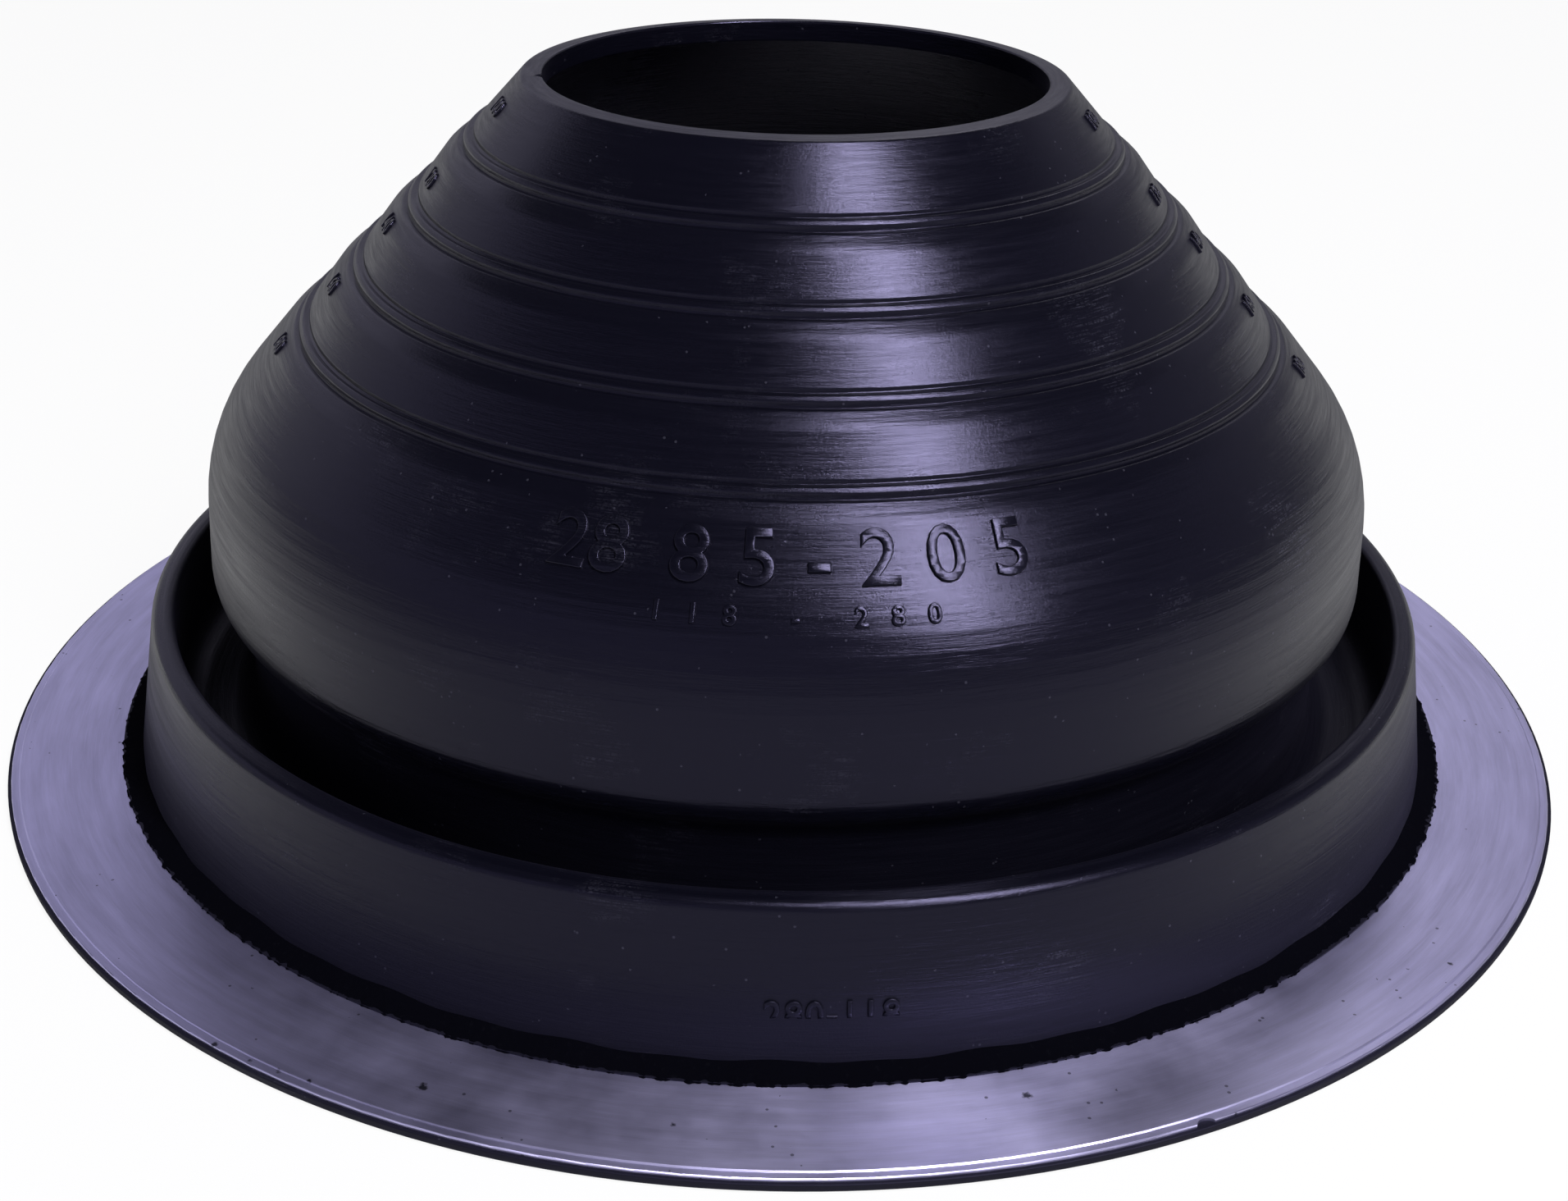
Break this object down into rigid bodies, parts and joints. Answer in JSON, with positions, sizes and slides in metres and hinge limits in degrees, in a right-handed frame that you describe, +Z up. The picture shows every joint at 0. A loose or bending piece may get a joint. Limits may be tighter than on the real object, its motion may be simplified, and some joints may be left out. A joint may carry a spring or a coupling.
{
  "type": "pipe flashing boot",
  "caption": "Stepped rubber cone boot on a round metal-edged flange; it seals a pipe where the pipe passes through a sheet roof or wall.",
  "frame": {"origin": "centre of the round seating face, on the plane that lies on the roof", "axes": "+Z up along the pipe's axis, out of the roof; -Y is the face seen in the reference view"},
  "size_m": [0.2806, 0.2806, 0.1176],
  "materials": {
    "rubber_boot": "satin moulded black synthetic rubber",
    "aluminium_base_ring": "mill finish, brushed round the ring"
  },
  "bodies": {
    "root": {"rubber_boot": "rubber_boot", "aluminium_base_ring": "aluminium_base_ring"}
  },
  "joints": []
}
